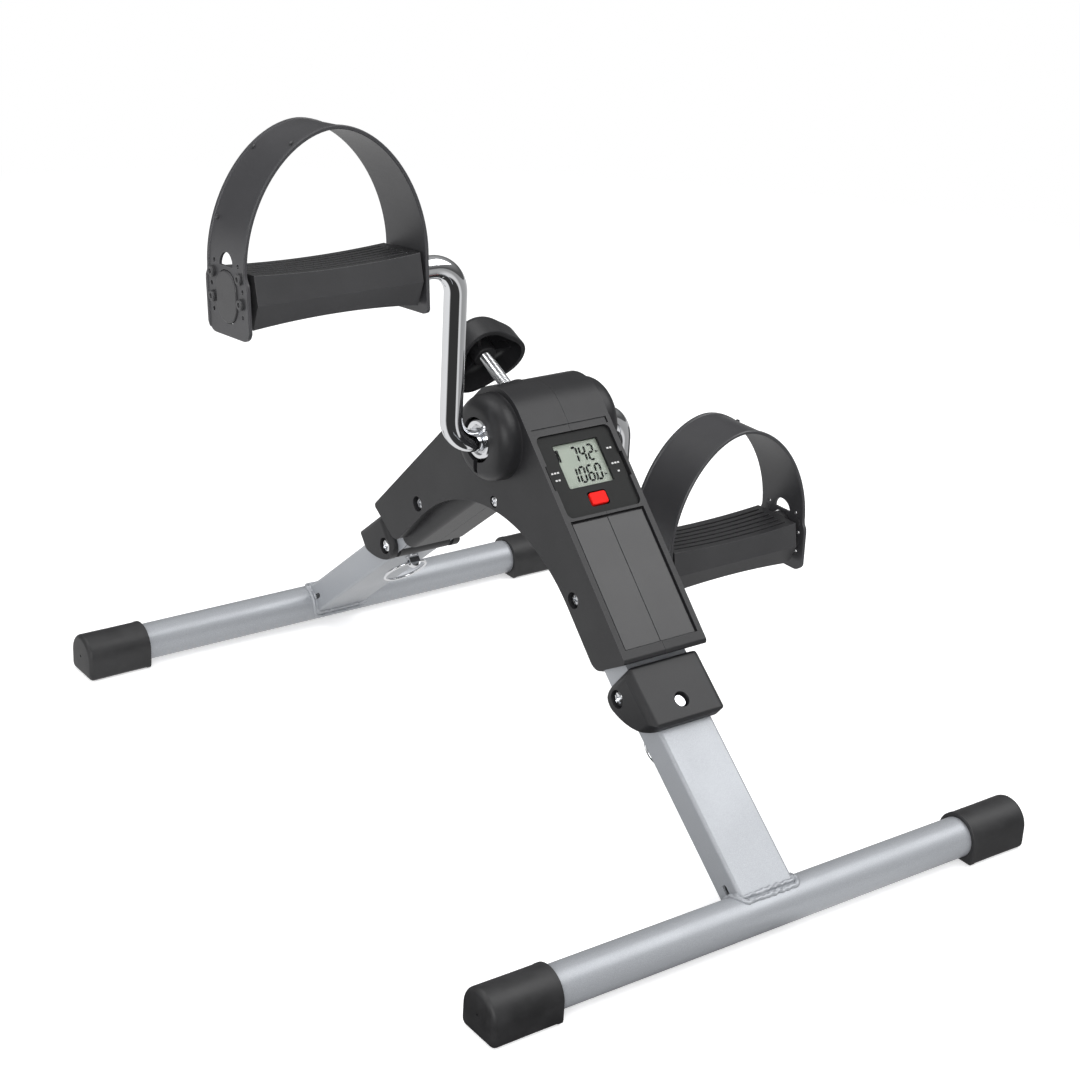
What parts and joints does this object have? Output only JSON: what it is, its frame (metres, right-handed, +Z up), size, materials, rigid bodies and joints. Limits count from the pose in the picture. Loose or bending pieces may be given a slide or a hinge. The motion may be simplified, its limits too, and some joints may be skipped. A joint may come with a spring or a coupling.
{
  "type": "pedal exerciser",
  "caption": "Folding desk pedal exerciser: two folding legs, Z-bent chrome cranks, strapped pedals, friction knob and a small display",
  "frame": {"origin": "on the floor, midway between the two base tubes, below the crank axle", "axes": "+X along the crank axle and the base tubes, to the right for the user; +Y away from the user, who sits on the display side; +Z up"},
  "size_m": [0.4256, 0.5188, 0.4314],
  "materials": {
    "silver_paint": "satin silver-grey powder coat",
    "chrome": "polished chrome plate",
    "zinc_steel": "zinc plated, satin",
    "shell_plastic": "charcoal, fine moulded grain",
    "hinge_plastic": "black, fine moulded grain",
    "pedal_plastic": "black, satin",
    "rubber": "black, soft and matt",
    "nylon": "natural nylon",
    "lcd": "grey-green display behind a clear window",
    "button_red": "red, satin"
  },
  "bodies": {
    "frame": {"frame_tube": "silver_paint", "left_shell": "shell_plastic", "right_shell": "shell_plastic", "near_left_screw": "zinc_steel", "near_right_screw": "zinc_steel", "far_left_screw": "zinc_steel", "far_right_screw": "zinc_steel", "arch_screw": "zinc_steel", "near_hinge_cover": "hinge_plastic", "near_hinge_bolt": "chrome", "near_hinge_nut": "zinc_steel", "far_hinge_cover": "hinge_plastic", "far_hinge_bolt": "chrome", "far_hinge_nut": "zinc_steel", "left_bearing_bush": "nylon", "right_bearing_bush": "nylon", "monitor_case": "shell_plastic", "lcd_lens": "lcd", "lcd_panel": "lcd", "monitor_board": "hinge_plastic", "reed_sensor": "hinge_plastic", "sensor_cable": "hinge_plastic"},
    "near_leg": {"near_leg_tube": "silver_paint", "near_leg_knuckle": "hinge_plastic", "near_base_tube": "silver_paint", "near_left_cap": "rubber", "near_right_cap": "rubber"},
    "far_leg": {"far_leg_tube": "silver_paint", "far_leg_knuckle": "hinge_plastic", "far_base_tube": "silver_paint", "far_left_cap": "rubber", "far_right_cap": "rubber"},
    "near_pin": {"near_lock_pin": "chrome"},
    "far_pin": {"far_lock_pin": "chrome"},
    "near_ring": {"near_pull_ring": "chrome"},
    "far_ring": {"far_pull_ring": "chrome"},
    "crank": {"crank_axle": "zinc_steel", "brake_drum": "nylon", "speed_magnet": "nylon", "left_thrust_washer": "chrome", "right_thrust_washer": "chrome", "left_crank": "chrome", "right_crank": "chrome", "left_crank_bolt": "chrome", "right_crank_bolt": "chrome", "left_crank_nut": "zinc_steel", "right_crank_nut": "zinc_steel", "left_spindle_clip": "zinc_steel", "right_spindle_clip": "zinc_steel"},
    "left_pedal": {"left_pedal_body": "pedal_plastic", "left_pedal_strap": "rubber", "left_pedal_cap": "pedal_plastic"},
    "right_pedal": {"right_pedal_body": "pedal_plastic", "right_pedal_strap": "rubber", "right_pedal_cap": "pedal_plastic"},
    "brake": {"brake_shoe": "nylon"},
    "knob": {"tension_knob": "shell_plastic", "tension_screw": "chrome"},
    "button": {"mode_button": "button_red"}
  },
  "joints": [
    {"name": "near_leg_fold", "type": "hinge", "parent": "frame", "child": "near_leg", "pos_m": [0, -0.12982, 0.10383], "axis": [1, 0, 0], "range_deg": [0, 100]},
    {"name": "far_leg_fold", "type": "hinge", "parent": "frame", "child": "far_leg", "pos_m": [0, 0.12982, 0.10383], "axis": [-1, 0, 0], "range_deg": [0, 100]},
    {"name": "near_pin_pull", "type": "slide", "parent": "near_leg", "child": "near_pin", "axis": [0, 0.6361, -0.7716], "range_m": [0, 0.006], "stiffness_N_per_m": 200, "springref_m": -0.02},
    {"name": "far_pin_pull", "type": "slide", "parent": "far_leg", "child": "far_pin", "axis": [0, -0.6361, -0.7716], "range_m": [0, 0.006], "stiffness_N_per_m": 200, "springref_m": -0.02},
    {"name": "near_ring_swing", "type": "hinge", "parent": "near_pin", "child": "near_ring", "pos_m": [0, -0.13562, 0.08415], "axis": [1, 0, 0], "range_deg": [0, 60]},
    {"name": "far_ring_swing", "type": "hinge", "parent": "far_pin", "child": "far_ring", "pos_m": [0, 0.13562, 0.08415], "axis": [-1, 0, 0], "range_deg": [0, 60]},
    {"name": "crank_spin", "type": "hinge", "parent": "frame", "child": "crank", "pos_m": [0, 0, 0.227], "axis": [1, 0, 0], "continuous": true},
    {"name": "left_pedal_spin", "type": "hinge", "parent": "crank", "child": "left_pedal", "pos_m": [-0.155, 0, 0.34], "axis": [1, 0, 0], "continuous": true},
    {"name": "right_pedal_spin", "type": "hinge", "parent": "crank", "child": "right_pedal", "pos_m": [0.155, 0, 0.114], "axis": [1, 0, 0], "continuous": true},
    {"name": "brake_advance", "type": "slide", "parent": "frame", "child": "brake", "axis": [0, -0.9063, -0.4226], "range_m": [0, 0.00375]},
    {"name": "knob_turn", "type": "hinge", "parent": "brake", "child": "knob", "pos_m": [0, 0.06344, 0.25658], "axis": [0, -0.9063, -0.4226], "range_deg": [0, 1080]},
    {"name": "mode_button_press", "type": "slide", "parent": "frame", "child": "button", "axis": [0, 0.7071, -0.7071], "range_m": [0, 0.001], "stiffness_N_per_m": 800, "springref_m": -0.001}
  ],
  "couplings": [
    {"joint": "knob_turn", "follows": "brake_advance", "rad_per_m": 5026.5}
  ]
}
